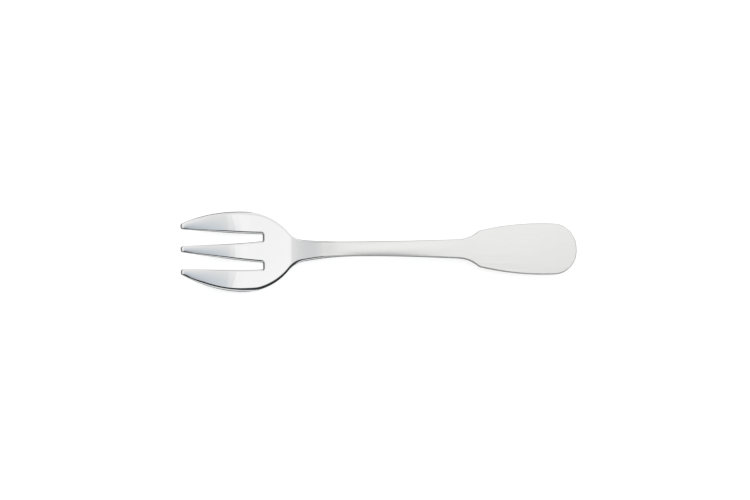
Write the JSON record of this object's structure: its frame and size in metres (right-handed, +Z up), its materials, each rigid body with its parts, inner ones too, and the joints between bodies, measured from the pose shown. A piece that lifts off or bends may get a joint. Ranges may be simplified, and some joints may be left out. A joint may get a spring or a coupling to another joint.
{
  "type": "oyster fork",
  "caption": "Short table fork with broad leaf-shaped outer tines around a tapered middle one, a shallow dished head, a slim waisted stem and a flat fiddle-shaped handle.",
  "frame": {"origin": "on the table under the middle of the fork's bounding box, with the fork lying on its back", "axes": "+X from the tine tips to the handle's end, +Y across the fork, +Z up, out of the head's hollow face"},
  "size_m": [0.15, 0.0304, 0.011],
  "materials": {
    "steel": "stainless steel, mirror-polished head and edges, lengthwise satin on stem and handle"
  },
  "bodies": {
    "root": {"oyster_fork": "steel"}
  },
  "joints": []
}
